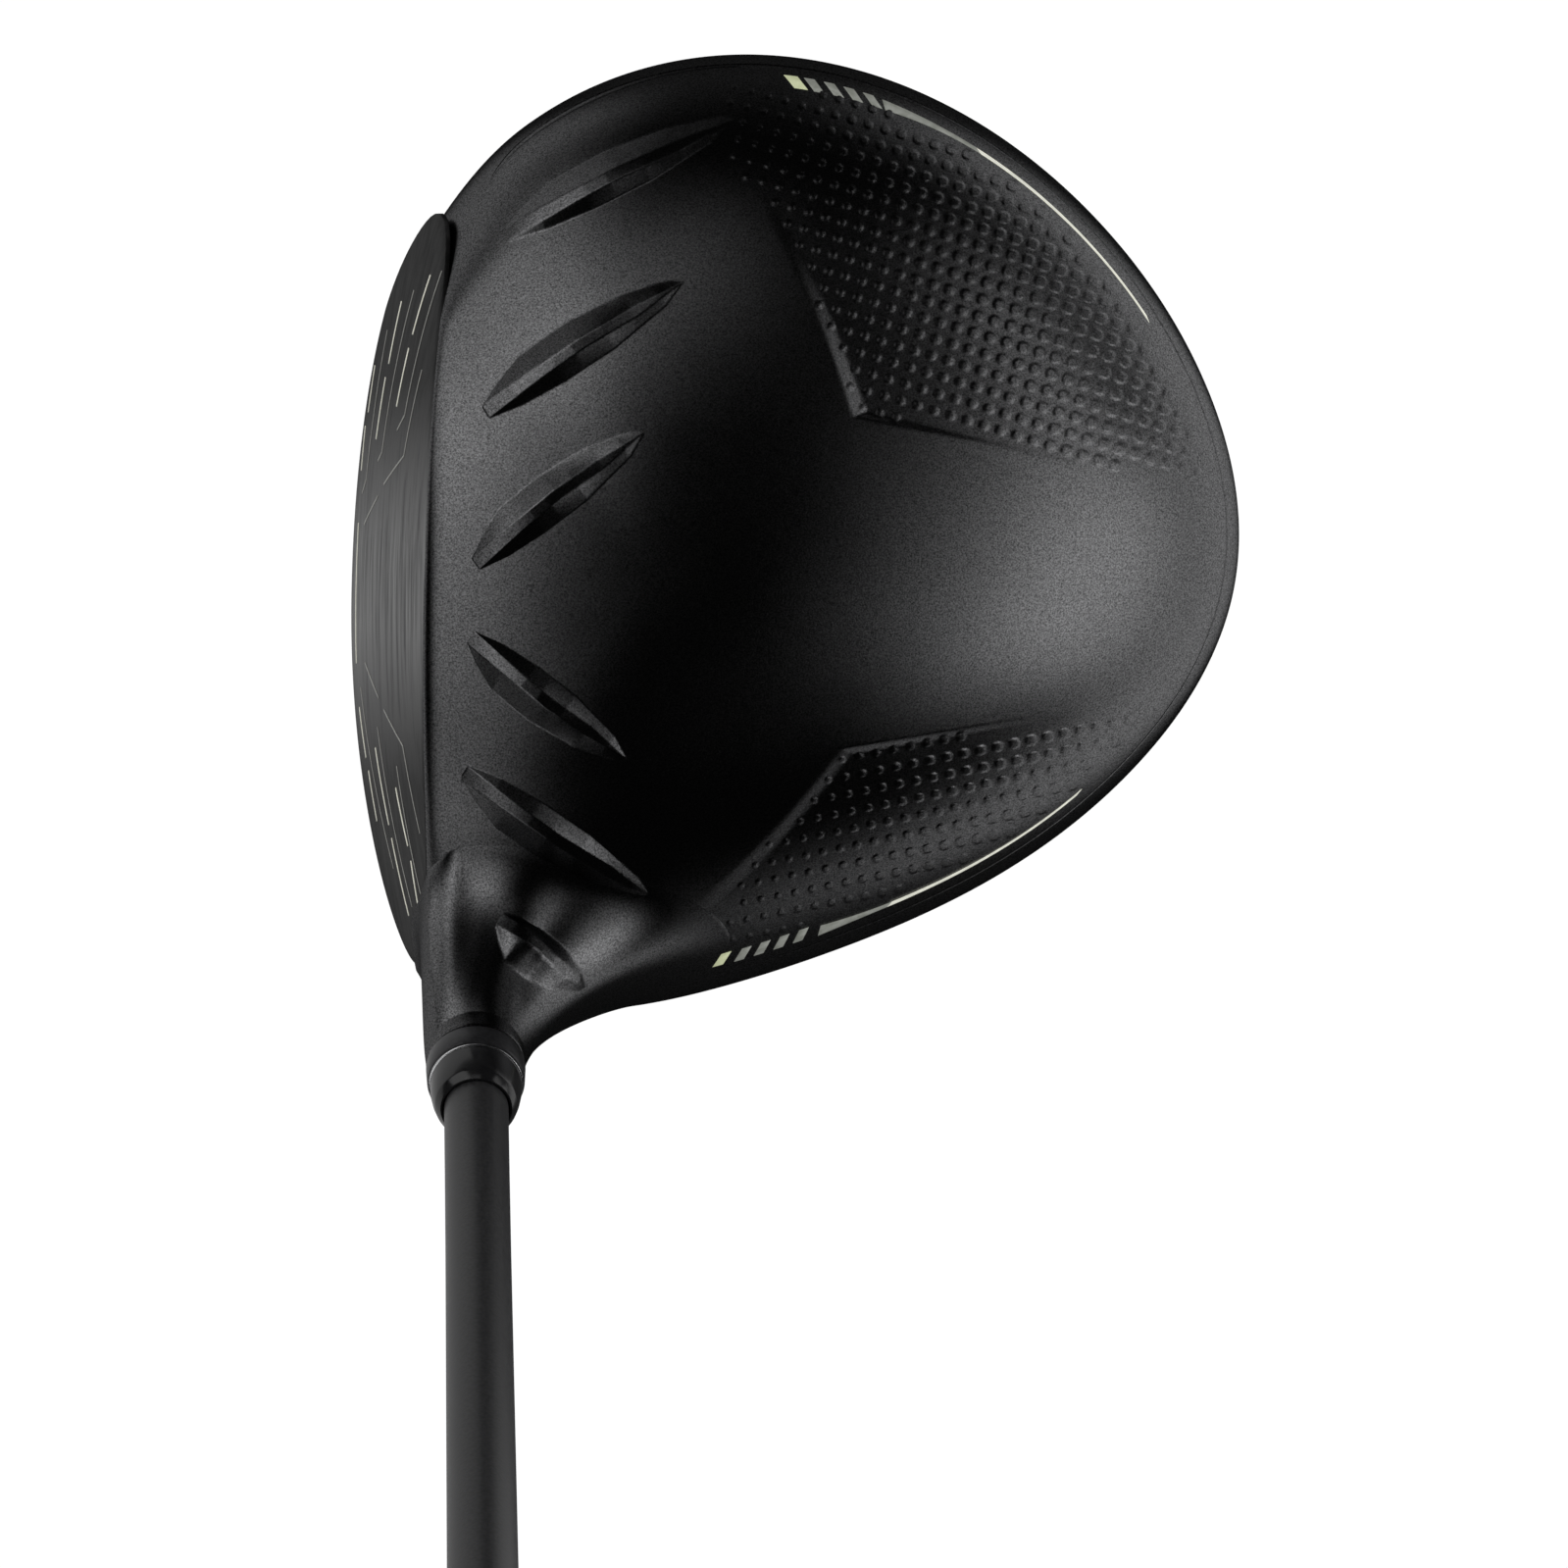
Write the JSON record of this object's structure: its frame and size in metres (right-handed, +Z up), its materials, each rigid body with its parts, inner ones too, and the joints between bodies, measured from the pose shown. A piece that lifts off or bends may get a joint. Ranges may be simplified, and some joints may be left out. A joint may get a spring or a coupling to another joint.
{
  "type": "golf driver",
  "caption": "Hollow golf driver with ridged black crown, grey face, adjustable hosel sleeve, tapered composite shaft, rubber grip and sliding rear weight.",
  "frame": {"origin": "centre of the flat rest pad under the sole, with the club at address", "axes": "+Z up, +X from the face to the rear of the head, +Y from the heel to the toe; the shaft leans back towards -Y"},
  "size_m": [0.1202, 0.7098, 1.0029],
  "materials": {
    "body_black": "satin black paint over cast titanium",
    "crown_black": "matte black composite with fine metallic speckle",
    "face_steel": "heel-to-toe brushed grey metal with painted alignment lines",
    "bright_steel": "bright turned steel",
    "dark_steel": "blackened steel",
    "bolt_steel": "dark zinc screw finish",
    "tungsten": "bead-blasted tungsten alloy",
    "badge_aluminium": "brushed plate with no lettering",
    "gasket_rubber": "soft black rubber",
    "sleeve_aluminium": "black anodised",
    "ferrule_plastic": "polished black",
    "shaft_composite": "matte charcoal carbon composite",
    "plug_brass": "plain turned brass",
    "grip_tape": "double-sided paper tape",
    "grip_rubber": "matte black textured rubber"
  },
  "bodies": {
    "head": {"body_shell": "body_black", "crown_shell": "crown_black", "face_plate": "face_steel", "bolt_seat_washer": "bright_steel", "bolt_retaining_ring": "dark_steel", "sole_badge": "badge_aluminium", "weight_rail": "bright_steel"},
    "bolt": {"hosel_bolt": "bolt_steel"},
    "shaft_unit": {"adapter_sleeve": "sleeve_aluminium", "ferrule_trim_ring": "bright_steel", "ferrule": "ferrule_plastic", "shaft": "shaft_composite", "shaft_tip_plug": "plug_brass", "grip_tape": "grip_tape", "grip": "grip_rubber", "grip_cap": "grip_rubber"},
    "weight": {"rear_weight": "tungsten", "weight_gasket": "gasket_rubber", "weight_nut": "dark_steel"},
    "screw": {"weight_screw": "bolt_steel"}
  },
  "joints": [
    {"name": "bolt_turn", "type": "hinge", "parent": "head", "child": "bolt", "pos_m": [-0.023, -0.03473, 0.01286], "axis": [0, -0.515, 0.8572], "continuous": true},
    {"name": "shaft_release", "type": "slide", "parent": "head", "child": "shaft_unit", "axis": [0, -0.515, 0.8572], "range_m": [0, 0.05]},
    {"name": "weight_slide", "type": "slide", "parent": "head", "child": "weight", "axis": [0, 1, 0], "range_m": [-0.009, 0.009]},
    {"name": "weight_screw_turn", "type": "hinge", "parent": "weight", "child": "screw", "pos_m": [0.062, 0.007, 0.00834], "axis": [0.4399, 0, -0.8981], "continuous": true}
  ]
}
